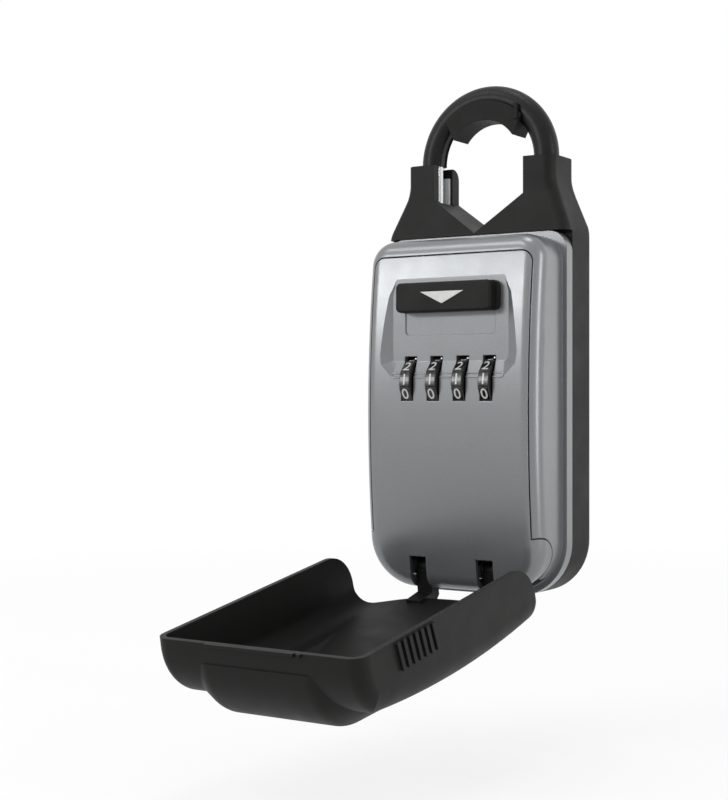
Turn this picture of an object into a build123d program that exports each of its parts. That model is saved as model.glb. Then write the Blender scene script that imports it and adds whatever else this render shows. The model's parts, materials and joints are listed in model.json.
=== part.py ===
"""Portable key safe, in millimetres: X to the right, Y to the back, Z up.

The origin is the middle of the shackle loop, level with the tops of the two towers.
"""

import os
from math import cos, radians, sin, tan

from build123d import *

os.makedirs("parts", exist_ok=True)

# Body outline
body_half_width = 41.5
body_top = -31.4
body_bottom = -176.0
flange_front = -13.3
flange_back = -8.4
flange_corner_top = 8.0
flange_corner_bottom = 22.0
side_inset = 2.1
case_bottom = -173.5
front_face = -36.0
bow_radius = 480.0
bow_level = -103.0
front_edge_radius = 6.7
hinge_clearance = 9.6
plan_corner_top = 10.0
plan_corner_bottom = 20.0
case_wall = 2.5
door_wall = 2.2

# Shackle legs and loop
leg_inset = 15.35
leg_spacing_half = body_half_width - leg_inset
rod_radius = 3.75
sleeve_radius = 5.1
toe_bottom = -47.0
heel_bottom = -99.5
bore_fit = 0.06

# Rear jacket and towers
jacket_back = 11.0
jacket_wall = 2.2
jacket_edge = 4.5
jacket_fit = 0.2
jacket_screw_cover = 0.6
tower_top = -0.5
tower_inner = leg_spacing_half - 5.45
tower_outer = leg_spacing_half + 7.45
tower_front = -10.3
shoulder_level = -15.2
notch_bottom = -30.4
shoulder_front = -13.4
tower_edge = 4.0
flare_top = -8.0
flare_bottom = -33.0
flare_steps = ((0.177, -14.6), (0.582, -22.2), (0.835, -26.8))

# Shackle posts and saddle pad
post_half_depth = 5.5
post_inner = leg_spacing_half - 4.75
post_outer = leg_spacing_half + 5.55
post_top = -4.5
post_bottom = -50.0
slot_front = -6.0
slot_back = 5.3
loop_pad_radius = 16.5
pad_half_depth = 6.0
pad_end = 9.5
pad_half_width = loop_pad_radius - 3.0
pad_angles = (46, 62)
pad_crown = leg_spacing_half - 1.55
pad_clip = (14.6, 16.2, 15.6, 22.0)
pad_clip_reach = 0.9

# Door, recess and dials
door_half_width = 35.55
door_corner = 4.5
seam = 0.5
door_top = -40.6
door_back = -30.4
recess_floor = -33.0
recess_brim = -36.2
recess_corner = 3.0
ledge_slope = 23.1
bead_y = -35.39
bead_z = -88.3
bead_length = 51.0
bead_height = 2.3
bead_width = 0.6
bead_rise = 0.25
dial_radius = 9.3
dial_axis_y = -28.9
dial_axis_z = -91.3
dial_pitch = 11.9
dial_width = 4.9
dial_faces = 10
dial_first_corner = -9.0
cam_width = 4.4
axle_half_length = 28.0
window_width = 5.7
window_top = -80.6
window_fit = 0.27
cam_radius = 5.2
axle_radius = 1.5
axle_fit = 0.05

# Hinge of the door and of the cover
hinge_y = -23.8
hinge_z = -165.4
pin_radius = 1.5
pin_fit = 0.05
pin_half_length = 28.6
knuckle_radius = 3.6
lug_radius = 3.2
lug_near = 25.4
lug_far = 28.2
knuckle_near = 19.4
knuckle_far = 24.9
middle_knuckle = 10.8
ear_centre_y = -30.4
ear_centre_z = -161.2
ear_radius = 9.8
slot_centre = 15.1
slot_width = 7.6
slot_top = -160.6

# Weather cover, drawn closed and then swung open
cover_angle = 99.8
cover_rim = -13.5
cover_end = -27.6
cover_half_width = 42.1
cover_corner = 5.5
cover_face = -40.5
cover_bow_radius = 446.0
cover_bow_level = -100.0
cover_wall = 2.1
cover_edge = 10.0
cover_low_end = -163.8
cover_wall_end = -146.9
cover_wall_round = 15.8
floor_edge_y = -31.4
base_end_radius = 20.7
crown_face = -44.5
crown_half_width = 21.8
crown_slope = 29.0
crown_depth = 8.0
crown_fade_sink = 1.2
crown_edge = 8.0
crown_flat_end = -74.0
crown_fade = -125.0
crown_end_radius = 23.6
lip_half = 19.5
lip_height = 1.2
lip_reach = 0.9
lip_notch = 17.4
lip_notch_width = 1.2
arm_width = 6.8
arm_top = 4.5
rib_count = 7
rib_first = -72.0
rib_pitch = 3.7
rib_length = 10.0
rib_height = 1.0
rib_thickness = 1.7
rib_slant = 14.0

# Slider and latch
slider_travel = 8.0
pocket_half = 20.4
pocket_top = -53.5
pocket_bottom = -72.3
pocket_depth = 0.5
pocket_corner = 2.0
slider_half_width = 22.8
slider_corner = 2.4
slider_edge = 0.9
slider_block_half_width = 21.4
slider_top = -51.6
slider_bottom = -63.3
slider_face = -39.3
slider_step = -35.6
plate_front = -26.5
plate_thickness = 1.5
housing_back = -15.7
housing_wall = 1.5
housing_half_width = 31.0
housing_top = -44.0
housing_bottom = -103.0
screw_column = 28.6
screw_rows = (-52.0, -99.6)
screw_radius = 1.25
screw_bite = 1.9
boss_radius = 2.4
plate_bottom = -72.8
plate_half = 23.5
plate_clearance = 3.0
ear_far = 29.2
ear_height = 6.0
finger_thickness = 1.2
finger_tip = -77.5
hook_near = 14.0
hook_far = 20.0
hook_tip = -37.0
spring_seat = -66.0
spring_foot = -84.0
spring_column = 27.2
spring_radius = 1.7
spring_wire = 0.35
spring_turns = 6
lever_level = -96.0
lever_peg = 2.0
lever_travel = 5.0
leaf_front = -18.6
arrow_half_width = 9.8
arrow_top = -55.4
arrow_tip = -60.2
slot_half_width = 9.0
stem_height = 2.2
stem_top = -52.6
latch_level = -40.3
latch_height = 2.6
latch_half_depth = 4.6
latch_fit = 0.2
latch_reach = 4.45
latch_travel = 2.4
latch_leg_fit = 0.15
latch_tab_half = 6.0
latch_tab_thickness = 3.0
latch_tab_drop = 11.0
notch_depth = 2.4
notch_height = 3.4

# Screws
case_screw_x = 24.0
case_screw_rows = (-70.0, -140.0)
case_screw_head = 2.9
case_screw_head_height = 1.8
case_screw_shank = 1.35
case_screw_bore = 1.6
housing_screw_head = 2.7
housing_screw_head_height = 1.6
housing_screw_sink = 0.5
drive_half = 1.55
drive_half_width = 0.35
drive_depth = 0.85
head_round = 0.85


def box(x0, x1, y0, y1, z0, z1):
    """Box between two corners."""
    middle = ((x0 + x1) / 2, (y0 + y1) / 2, (z0 + z1) / 2)
    return Pos(*middle) * Box(abs(x1 - x0), abs(y1 - y0), abs(z1 - z0))


def rod_x(y, z, radius, x0, x1):
    """Round bar along X."""
    return Pos((x0 + x1) / 2, y, z) * Rot(0, 90, 0) * Cylinder(radius, abs(x1 - x0))


def rod_y(x, z, radius, y0, y1):
    """Round bar along Y."""
    return Pos(x, (y0 + y1) / 2, z) * Rot(90, 0, 0) * Cylinder(radius, abs(y1 - y0))


def rod_z(x, y, radius, z0, z1):
    """Round bar along Z."""
    return Pos(x, y, (z0 + z1) / 2) * Cylinder(radius, abs(z1 - z0))


def side_plate(points, x0, x1):
    """Plate with an outline drawn in the side view (y, z)."""
    face = Plane.YZ * make_face(Polyline(*points, close=True))
    return Pos(x0, 0, 0) * extrude(face, amount=x1 - x0)


def front_plate(points, y0, y1):
    """Plate with an outline drawn in the front view (x, z)."""
    face = Plane.XZ * make_face(Polyline(*points, close=True))
    return Pos(0, y1, 0) * extrude(face, amount=y1 - y0)


def mirrored(solid):
    """The solid together with its mirror image across X = 0."""
    return solid + mirror(solid, Plane.YZ)


def rounded_block(half_width, y0, y1, z0, z1, low_radius, high_radius):
    """Block with rounded corners in the front view."""
    block = box(-half_width, half_width, y0, y1, z0, z1)
    ends = block.edges().filter_by(Axis.Y).group_by(Axis.Z)
    block = fillet(ends[0], low_radius)
    ends = block.edges().filter_by(Axis.Y).filter_by(GeomType.LINE).sort_by(Axis.Z)
    return fillet(ends[-2:], high_radius)


def bowed_body(inset, rear):
    """Front body of the case and door: bowed face, rounded edges."""
    block = rounded_block(
        body_half_width - side_inset - inset,
        front_face - 5,
        rear,
        case_bottom + inset,
        body_top - side_inset - inset,
        plan_corner_bottom - inset,
        plan_corner_top - inset,
    )
    bow = rod_x(front_face + bow_radius, bow_level, bow_radius - inset, -50, 50)
    block = block & bow
    front = block.faces().sort_by(Axis.Y)[0]
    return fillet(front.edges(), front_edge_radius - inset)


def ear_region(gap):
    """Space of the door at the hinge end, across the whole width."""
    y_low = ear_centre_y + 7.0 + gap
    lobe = rod_x(ear_centre_y, ear_centre_z, ear_radius + gap, -50, 50)
    return lobe + box(-50, 50, -60, y_low, -190, ear_centre_z)


def make_case():
    """Die-cast case: shell, flange, shackle posts and hinge lugs."""
    shell = bowed_body(0, flange_back)
    shell += rounded_block(
        body_half_width,
        flange_front,
        flange_back,
        body_bottom,
        body_top,
        flange_corner_bottom,
        flange_corner_top,
    )
    fit = jacket_wall + jacket_fit
    shell += rounded_block(
        body_half_width - fit,
        flange_back,
        jacket_back - fit,
        body_bottom + fit,
        body_top - fit,
        plan_corner_bottom - 0.4,
        plan_corner_top - 0.4,
    )
    shell -= bowed_body(case_wall, jacket_back - fit - case_wall)
    opening = door_half_width + seam
    doorway = box(-opening, opening, -60, -20.5, -190, door_top + seam)
    shell -= fillet(doorway.edges().filter_by(Axis.Y).group_by(Axis.Z)[-1], door_corner + seam)
    shell -= ear_region(seam)
    inner = body_half_width - side_inset - case_wall
    shell -= rod_x(hinge_y, hinge_z, hinge_clearance, -inner + 4, inner - 4)
    shell += case_posts() + case_lugs()
    return shell - leg_bores() - jacket_screw_holes() - latch_channel()


def case_posts():
    """Posts that carry the shackle legs, open towards the loop at the top."""
    post = box(post_inner, post_outer, -post_half_depth, post_half_depth, post_bottom, post_top)
    post = fillet(post.edges().filter_by(Axis.Z).group_by(Axis.X)[-1], 3.0)
    reach = rod_radius + bore_fit
    post -= box(post_inner - 1, leg_spacing_half, -reach, reach, -20, 0)
    web = box(post_inner, post_outer, 0, 7.0, post_bottom, body_top - 3)
    return mirrored(post + web)


def leg_bores():
    """Bores for the two shackle legs."""
    bore = rod_z(leg_spacing_half, 0, rod_radius + bore_fit, post_bottom - 1, 5)
    return mirrored(bore)


def case_lugs():
    """Two lugs that hold the hinge pin."""
    web = side_plate(
        [(hinge_y, hinge_z + 3.1), (7.0, -146.0), (7.0, -158.0), (hinge_y + 2.8, hinge_z + 1.4)],
        lug_near,
        lug_far,
    )
    hub = rod_x(hinge_y, hinge_z, lug_radius, lug_near, lug_far)
    hole = rod_x(hinge_y, hinge_z, pin_radius + pin_fit, 20, 32)
    return mirrored(web + hub - hole)


def latch_channel():
    """Cross slot for the shackle latch plate."""
    half = leg_spacing_half + latch_reach + latch_travel + latch_fit
    depth = latch_half_depth + latch_fit
    height = latch_height / 2 + latch_fit
    return box(-half, half, -depth, depth, latch_level - height, latch_level + height)


def shackle_latch_plate():
    """Sliding plate that catches the notches of both legs, with its tab."""
    low = latch_level - latch_height / 2
    high = latch_level + latch_height / 2
    reach = rod_radius + latch_leg_fit
    left = leg_spacing_half + latch_reach
    plate = box(-left, left + latch_travel, -latch_half_depth, latch_half_depth, low, high)
    for leg in (-leg_spacing_half, leg_spacing_half):
        plate -= rod_z(leg, 0, reach, low - 1, high + 1)
        plate -= box(leg, leg + reach, -reach, reach, low - 1, high + 1)
    tab = box(
        -latch_tab_half, latch_tab_half, -latch_tab_thickness / 2, latch_tab_thickness / 2,
        low - latch_tab_drop, low + 0.5,
    )
    return plate + tab


def jacket_screw_places():
    """Centres of the four jacket screws in the front view."""
    return [(x, z) for x in (-case_screw_x, case_screw_x) for z in case_screw_rows]


def jacket_screw_holes():
    """Clearance holes through the back of the case."""
    reach = jacket_back - jacket_wall
    holes = [rod_y(x, z, case_screw_bore, 0, reach) for x, z in jacket_screw_places()]
    return Part() + holes


def cross_drive(x, z, face, into):
    """Cross recess of a screw, cut from the face of its head."""
    low, high = sorted((face - into, face + into * drive_depth))
    flat = box(x - drive_half, x + drive_half, low, high, z - drive_half_width, z + drive_half_width)
    tall = box(x - drive_half_width, x + drive_half_width, low, high, z - drive_half, z + drive_half)
    return flat + tall


def jacket_screws():
    """Four pan-head screws from the key compartment into the jacket."""
    inner = jacket_back - jacket_wall - jacket_fit - case_wall
    face = inner - case_screw_head_height
    screws = []
    for x, z in jacket_screw_places():
        head = rod_y(x, z, case_screw_head, face, inner)
        head = fillet(head.edges().group_by(Axis.Y)[0], head_round)
        shank = rod_y(x, z, case_screw_shank, inner, jacket_back - jacket_screw_cover)
        screws.append(head - cross_drive(x, z, face, 1) + shank)
    return screws


def jacket_front():
    """Front outline of the jacket: body, flared shoulders, towers and notch."""
    spread = body_half_width - tower_outer
    flare = Spline(
        (tower_outer, flare_top),
        *[(tower_outer + share * spread, level) for share, level in flare_steps],
        (body_half_width, flare_bottom),
        tangents=[(0, -1), (0, -1)],
    )
    top = Polyline(
        (0, notch_bottom),
        (tower_inner, shoulder_level),
        (tower_inner, tower_top),
        (tower_outer, tower_top),
        (tower_outer, flare_top),
    )
    base = Polyline(
        (body_half_width, flare_bottom), (body_half_width, body_bottom), (0, body_bottom)
    )
    half = Curve() + [top, flare, base, Line((0, body_bottom), (0, notch_bottom))]
    face = make_face(half)
    return Plane.XZ * (face + mirror(face, Plane.YZ))


def make_jacket():
    """Rear jacket with towers, open at the front, slots towards the loop."""
    outer = Pos(0, jacket_back, 0) * extrude(jacket_front(), amount=jacket_back - shoulder_front)
    corners = outer.edges().filter_by(Axis.Y).sort_by(Axis.Z)[:2]
    outer = fillet(corners, flange_corner_bottom)
    rear = outer.faces().sort_by(Axis.Y)[-1].edges()
    rear = rear.filter_by(lambda e: abs(e.center().X) > tower_inner + 1 or e.center().Z < -60)
    outer = fillet(rear, jacket_edge)
    side = side_plate(
        [
            (jacket_back + 1, 5),
            (tower_front, 5),
            (tower_front, shoulder_level),
            (shoulder_front, body_top + 0.2),
            (flange_back + 0.05, body_top + 0.2),
            (flange_back + 0.05, -180),
            (jacket_back + 1, -180),
        ],
        -50,
        50,
    )
    outer = outer & side
    rims = outer.edges().filter_by(
        lambda e: e.center().Y < tower_front + 0.1
        and abs(e.center().X) > tower_outer - 0.1
        and e.center().Z > body_top + 1
    )
    outer = fillet(rims, tower_edge)
    inner = rounded_block(
        body_half_width - jacket_wall,
        -40,
        jacket_back - jacket_wall,
        body_bottom + jacket_wall,
        body_top - jacket_wall,
        plan_corner_bottom,
        plan_corner_top,
    )
    inner += rounded_block(
        body_half_width + 1,
        -40,
        flange_back + 0.05,
        body_bottom - 1,
        body_top + 0.15,
        flange_corner_bottom,
        flange_corner_top,
    )
    fit = jacket_fit
    pocket = box(
        post_inner - fit,
        post_outer + fit,
        -post_half_depth - fit,
        post_half_depth + fit,
        post_bottom,
        post_top + fit,
    )
    throat = rod_z(leg_spacing_half, 0, rod_radius + 0.3, post_top - 1, 5)
    window = box(tower_inner - 1, leg_spacing_half, slot_front, slot_back, -17.5, 5)
    jacket = outer - inner - mirrored(pocket + throat + window)
    inner_back = jacket_back - jacket_wall
    for x, z in jacket_screw_places():
        jacket -= rod_y(x, z, 1.4, inner_back - 1, jacket_back - 0.5)
    return jacket


def shackle_path():
    """Centre line of the shackle, from the toe to the heel."""
    left = Line((-leg_spacing_half, 0, toe_bottom), (-leg_spacing_half, 0, 0))
    arch = ThreePointArc(
        (-leg_spacing_half, 0, 0), (0, 0, leg_spacing_half), (leg_spacing_half, 0, 0)
    )
    right = Line((leg_spacing_half, 0, 0), (leg_spacing_half, 0, heel_bottom))
    return left + arch + right


def shackle_core():
    """Steel rod with chamfered toe, a catch notch in each leg and a ring groove."""
    start = Plane((-leg_spacing_half, 0, toe_bottom), z_dir=(0, 0, 1))
    core = sweep(start * Circle(rod_radius), path=shackle_path())
    ends = core.edges().filter_by(GeomType.CIRCLE).sort_by(Axis.Z)[:2]
    core = chamfer(ends, 0.8)
    for leg in (-leg_spacing_half, leg_spacing_half):
        inner = leg + rod_radius - notch_depth
        core -= box(inner, inner + 5, -5, 5, latch_level - notch_height / 2, latch_level + notch_height / 2)
    groove = rod_z(leg_spacing_half, 0, rod_radius + 1, heel_bottom + 1.2, heel_bottom + 2.6)
    groove -= rod_z(leg_spacing_half, 0, rod_radius - 0.6, heel_bottom, heel_bottom + 4)
    return core - groove


def sleeve_section():
    """Coating section: round with a groove on the side towards the loop."""
    ring = Circle(sleeve_radius) - Circle(rod_radius)
    groove = Pos(sleeve_radius, 0) * Rectangle(2.2, 4.4)
    return ring - groove


def shackle_sleeve():
    """Black coating over the loop, with its groove facing inwards."""
    start = Plane((-leg_spacing_half, 0, 0), x_dir=(1, 0, 0), z_dir=(0, 0, 1))
    arch = ThreePointArc(
        (-leg_spacing_half, 0, 0), (0, 0, leg_spacing_half), (leg_spacing_half, 0, 0)
    )
    return sweep(start * sleeve_section(), path=arch)


def heel_ring():
    """Spring ring that keeps the long leg in the case."""
    ring = rod_z(leg_spacing_half, 0, 5.2, heel_bottom + 1.35, heel_bottom + 2.45)
    ring -= rod_z(leg_spacing_half, 0, rod_radius - 0.55, heel_bottom, heel_bottom + 4)
    gap = box(leg_spacing_half - 9, leg_spacing_half, -1.6, 1.6, heel_bottom, heel_bottom + 4)
    return ring - gap


def saddle_pad():
    """Pad inside the loop with a round bed for a knob neck or bar."""
    rim = [
        (-leg_spacing_half * cos(radians(angle)), leg_spacing_half * sin(radians(angle)))
        for angle in pad_angles
    ]
    left = [(0, pad_end), (-pad_half_width, pad_end)] + rim + [(0, leg_spacing_half)]
    outline = left + [(-x, z) for x, z in reversed(left[1:-1])]
    blank = front_plate(outline, -pad_half_depth, pad_half_depth)
    crown = rod_y(0, 0, pad_crown, -pad_half_depth, pad_half_depth)
    bed = rod_y(0, 0, loop_pad_radius, -pad_half_depth - 1, pad_half_depth + 1)
    loop = Rot(90, 0, 0) * Torus(leg_spacing_half, sleeve_radius + 0.02)
    pad = (blank & crown) - bed - loop
    near, far, low, high = pad_clip
    clip = box(near, far, -pad_half_depth - pad_clip_reach, -pad_half_depth + 0.5, low, high)
    return pad + (clip & rod_y(0, 0, leg_spacing_half + 1.25, -8, 8))


def recess_outline(half, level):
    """Face of the recess at one depth, with round upper corners."""
    points = half + [(-x, z) for x, z in reversed(half)]
    face = make_face(Polyline(*points, close=True))
    corners = face.vertices().group_by(Axis.Y)[-1]
    return Pos(0, level, 0) * (Plane.XZ * fillet(corners, recess_corner))


def recess_cut():
    """Shallow recess: flat floor, sloped sides, sloped ledge at the dials."""
    floor = [(23.5, -44), (24.4, -49), (26.2, -56), (26.2, -80), (25.8, -82), (24.4, -82.7)]
    brim = [(24.5, -44), (26.5, -49), (32.7, -56), (32.4, -80), (31.4, -84.3), (25.4, -90.2)]
    faces = [recess_outline(floor, recess_floor), recess_outline(brim, recess_brim)]
    return loft(faces, ruled=True)


def ledge_bead():
    """Raised bead with round ends along the ledge, crossed by the dial windows."""
    rise = radians(ledge_slope)
    ledge = Plane(
        origin=(0, bead_y, bead_z), x_dir=(1, 0, 0), z_dir=(0, -cos(rise), sin(rise))
    )
    ring = SlotOverall(bead_length, bead_height)
    ring -= SlotOverall(bead_length - 2 * bead_width, bead_height - 2 * bead_width)
    return extrude(ledge * ring, amount=bead_rise, both=True)


def dial_places():
    """X of the four dials."""
    return [dial_pitch * (n - 1.5) for n in range(4)]


def dial_windows():
    """Openings for the dials through the ledge and the front face."""
    reach = dial_radius / cos(radians(18)) + window_fit
    cuts = []
    for x in dial_places():
        low, high = x - window_width / 2, x + window_width / 2
        cuts.append(rod_x(dial_axis_y, dial_axis_z, reach, low, high))
        cuts.append(box(low, high, -40, dial_axis_y, dial_axis_z, window_top))
    return Part() + cuts


def hinge_slots(width, high):
    """Slots at the lower edge of the door for the arms of the cover."""
    slot = box(slot_centre - width / 2, slot_centre + width / 2, -60, -10, -190, high)
    return mirrored(slot)


def door_knuckles():
    """Knuckles of the door on the hinge pin."""
    outer_span = (knuckle_near, knuckle_far)
    inner_span = (-middle_knuckle, middle_knuckle)
    hub = rod_x(hinge_y, hinge_z, knuckle_radius, *outer_span)
    web = box(*outer_span, -33.0, hinge_y, hinge_z - 2.6, hinge_z + 2.6)
    inner = rod_x(hinge_y, hinge_z, knuckle_radius, *inner_span)
    inner_web = box(*inner_span, -33.0, hinge_y, hinge_z - 2.6, hinge_z + 2.6)
    hole = rod_x(hinge_y, hinge_z, pin_radius + pin_fit, -40, 40)
    return mirrored(hub + web) + inner + inner_web - hole


def make_door():
    """Cast door: bowed shell, ears, recess, windows, slots and knuckles."""
    body = bowed_body(0, flange_back)
    shell = body - bowed_body(door_wall, flange_back + 5)
    front = box(-door_half_width, door_half_width, -60, -28.5, -158, door_top)
    front = fillet(front.edges().filter_by(Axis.Y).group_by(Axis.Z)[-1], door_corner)
    door = shell & front
    door += shell & ear_region(0) & box(-50, 50, -60, hinge_y - 0.1, -190, -100)
    door += shell & rod_x(ear_centre_y, ear_centre_z, ear_radius, -50, 50)
    pad = box(-31.5, 31.5, -60, door_back, housing_bottom, housing_top)
    door += body & pad
    door += door_knuckles() & bowed_body(0.3, flange_back)
    door -= recess_cut()
    door -= travel_pocket()
    door += ledge_bead()
    slot_bottom = stem_top - stem_height - slider_travel
    door -= box(-slot_half_width, slot_half_width, -40, -20, slot_bottom - 0.2, stem_top + 0.2)
    door -= dial_windows()
    door -= rod_x(dial_axis_y, dial_axis_z, cam_radius + 0.3, -15.6, 25.2)
    half = housing_half_width + 0.3
    door -= box(-half, half, door_back, -20, housing_bottom - 0.3, housing_top + 0.3)
    for x, z in housing_screw_places():
        door -= rod_y(x, z, screw_radius + 0.02, door_back - screw_bite - 0.1, door_back)
    door -= hinge_slots(slot_width, slot_top)
    return door


def travel_pocket():
    """Shallow pocket in the recess floor under the travel of the slider."""
    pocket = box(
        -pocket_half, pocket_half, -40, recess_floor + pocket_depth, pocket_bottom, pocket_top
    )
    return fillet(pocket.edges().filter_by(Axis.Y), pocket_corner)


def housing_screw_places():
    """Centres of the four housing screws in the front view."""
    return [(x, z) for x in (-screw_column, screw_column) for z in screw_rows]


def lock_housing():
    """Cast cover over the lock work on the back of the door."""
    half, wall = housing_half_width, housing_wall
    shell = box(-half, half, door_back, housing_back, housing_bottom, housing_top)
    shell = fillet(shell.edges().filter_by(Axis.Y), 2.5)
    shell = fillet(shell.faces().sort_by(Axis.Y)[-1].edges(), 1.2)
    inner = half - wall
    back = housing_back - wall
    shell -= box(-inner, inner, door_back - 1, back, housing_bottom + wall, housing_top - wall)
    for x, z in housing_screw_places():
        shell += rod_y(x, z, boss_radius, door_back, housing_back - 0.5)
        shell -= rod_y(x, z, screw_radius + 0.1, door_back - 1, housing_back + 1)
        shell -= rod_y(x, z, 3.0, housing_back - 0.5, housing_back + 1)
    shell += mirrored(box(25.2, 28.0, door_back, back, dial_axis_z - 3, dial_axis_z + 3))
    shell += mirrored(box(25.3, inner, door_back, back, spring_foot - wall, spring_foot))
    shell -= rod_x(dial_axis_y, dial_axis_z, axle_radius + 0.02, -half - 1, half + 1)
    hook_outer = hook_far + 0.5
    shell -= box(-hook_outer, hook_outer, door_back - 1, -24.4, housing_top - 3, housing_top + 1)
    reach = lever_peg + lever_travel
    shell -= box(-lever_peg - 0.2, reach + 0.2, -20, -10, lever_level - 1.2, lever_level + 1.2)
    return shell


def housing_screws():
    """Four pan-head screws that hold the housing to the door."""
    screws = []
    seat = housing_back - housing_screw_sink
    face = seat + housing_screw_head_height
    for x, z in housing_screw_places():
        head = rod_y(x, z, housing_screw_head, seat, face)
        head = fillet(head.edges().group_by(Axis.Y)[-1], head_round)
        shank = rod_y(x, z, screw_radius, door_back - screw_bite, seat)
        screws.append(head - cross_drive(x, z, face, -1) + shank)
    return screws


def make_dial(x):
    """Ten-sided number wheel with a recess for its cam sleeve."""
    corner = dial_radius / cos(radians(180 / dial_faces))
    points = []
    for n in range(dial_faces):
        angle = radians(dial_first_corner + n * 360 / dial_faces)
        points.append((dial_axis_y - corner * cos(angle), dial_axis_z + corner * sin(angle)))
    half = dial_width / 2
    wheel = side_plate(points, x - half, x + half)
    rims = wheel.edges().group_by(Axis.X)
    wheel = chamfer(rims[0] + rims[-1], 0.35)
    wheel -= rod_x(dial_axis_y, dial_axis_z, 6.2, x + half - 1.2, x + half + 1)
    return wheel - rod_x(dial_axis_y, dial_axis_z, axle_radius + axle_fit, x - 5, x + 5)


def make_cam(x):
    """Cam sleeve beside a dial, with a gate for the latch finger."""
    start = x + dial_width / 2 + 0.15
    cam = rod_x(dial_axis_y, dial_axis_z, cam_radius, start, start + cam_width)
    cam += rod_x(dial_axis_y, dial_axis_z, 4.0, start - 1.2, start)
    gate_y = plate_front + plate_thickness + finger_thickness / 2
    cam -= box(start - 2, start + 6, gate_y - 1.1, gate_y + 1.1, dial_axis_z + 0.8, dial_axis_z + 9)
    return cam - rod_x(dial_axis_y, dial_axis_z, axle_radius + axle_fit, x - 5, x + 15)


def dial_axle():
    """Fixed axle of the dials and cam sleeves."""
    axle = rod_x(dial_axis_y, dial_axis_z, axle_radius, -axle_half_length, axle_half_length)
    return chamfer(axle.edges(), 0.3)


def detent_spring():
    """Spring leaf with one finger behind each dial."""
    leaf_back = housing_back - housing_wall
    foot = housing_bottom + housing_wall + 0.1
    leaf = box(-22, 22, leaf_front, leaf_back, foot, foot + 2.0)
    for x in dial_places():
        leaf += box(x - 2, x + 2, leaf_front, leaf_front + 0.4, foot, dial_axis_z + 6)
    return leaf


def slider_plate(half_width, front, corner):
    """Plate of the slider with rounded corners in the front view."""
    plate = box(-half_width, half_width, front, recess_floor - 0.1, slider_bottom, slider_top)
    return fillet(plate.edges().filter_by(Axis.Y), corner)


def open_slider():
    """Thumb slider: base with round ends, raised block and stem."""
    base = slider_plate(slider_half_width, slider_step, slider_corner)
    block = slider_plate(slider_block_half_width, slider_face, slider_corner - 0.4)
    block = fillet(block.faces().sort_by(Axis.Y)[0].edges(), slider_edge)
    stem_half = slot_half_width - 0.2
    stem = box(
        -stem_half, stem_half, recess_floor - 0.2, plate_front, stem_top - stem_height, stem_top
    )
    return base + block + stem - arrow_prism()


def arrow_prism():
    """Triangle that points down, set into the face of the slider."""
    points = [(-arrow_half_width, arrow_top), (arrow_half_width, arrow_top), (0, arrow_tip)]
    return front_plate(points, slider_face - 0.1, slider_face + 0.5)


def latch_plate():
    """Plate behind the door: hooks at the top, spring ears and code fingers."""
    low, high = plate_front, plate_front + plate_thickness
    plate = box(-plate_half, plate_half, low, high, plate_bottom, housing_top - plate_clearance)
    plate += mirrored(box(hook_near, hook_far, low, high, housing_top - plate_clearance - 1, hook_tip))
    plate += mirrored(box(plate_half - 0.5, ear_far, low, high, spring_seat, spring_seat + ear_height))
    return plate


def latch_fingers():
    """Four tongues riveted behind the latch plate, one over each cam sleeve."""
    face = plate_front + plate_thickness
    fingers = []
    for x in dial_places():
        start = x + dial_width / 2 + 0.75
        side = start + cam_width - 1.2
        tongue = box(start, side, face, face + finger_thickness, finger_tip, plate_bottom + 6)
        middle = (start + side) / 2
        tongue += rod_y(middle, plate_bottom + 4, 0.9, face + finger_thickness, face + finger_thickness + 0.5)
        fingers.append(tongue)
    return fingers


def latch_springs():
    """Two coil springs that push the latch plate up."""
    coils = []
    height = spring_seat - spring_foot - 2 * spring_wire - 0.1
    middle = plate_front + plate_thickness / 2
    for x in (-spring_column, spring_column):
        path = Helix(pitch=height / spring_turns, height=height, radius=spring_radius)
        start = Plane(origin=path @ 0, z_dir=path % 0)
        coil = sweep(start * Circle(spring_wire), path=path)
        coils.append(Pos(x, middle, spring_foot + spring_wire + 0.05) * coil)
    return coils


def code_lever():
    """Sliding lever on the back of the housing that frees the cams."""
    face = housing_back + 0.1
    lever = box(-7, 7, face, face + 1.4, lever_level - 3, lever_level + 3)
    lever = fillet(lever.edges().filter_by(Axis.Y), 1.5)
    grip = box(-2, 2, face + 1.4, face + 3.4, lever_level - 2.4, lever_level + 2.4)
    peg = box(-lever_peg, lever_peg, housing_back - housing_wall - 0.5, face, lever_level - 1, lever_level + 1)
    return lever + grip + peg


def hinge_pin():
    """Pin through the lugs, the door knuckles and the cover arms."""
    pin = rod_x(hinge_y, hinge_z, pin_radius, -pin_half_length, pin_half_length)
    return chamfer(pin.edges(), 0.3)


def release_button():
    """Push button on the tab of the shackle latch plate."""
    top = latch_level - latch_height / 2 - 2.5
    button = box(-8, 8, -5.5, -1.5, top - 11, top)
    return fillet(button.edges(), 1.0)


def bowed_tray(inset, rim, far_end, edge):
    """Bowed block with its long front edges rounded, up to a far end."""
    half = cover_half_width - inset
    tray = box(-half, half, -60, rim, cover_low_end - 2, far_end)
    middle = cover_face + cover_bow_radius
    tray = tray & rod_x(middle, cover_bow_level, cover_bow_radius - inset, -60, 60)
    if edge == cover_corner:
        far_edge = tray.edges().filter_by(Axis.X).sort_by(lambda e: e.center().Z - e.center().Y)
        tray = fillet(far_edge[-1], base_end_radius - inset)
    sides = tray.edges().filter_by(
        lambda e: abs(abs(e.center().X) - half) < 0.01
        and e.center().Y < rim - 0.1
        and cover_low_end < e.center().Z < far_end + (edge == cover_corner)
    )
    if edge == cover_edge:
        sides = sides.filter_by(GeomType.CIRCLE)
    return fillet(sides, edge - inset)


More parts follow.
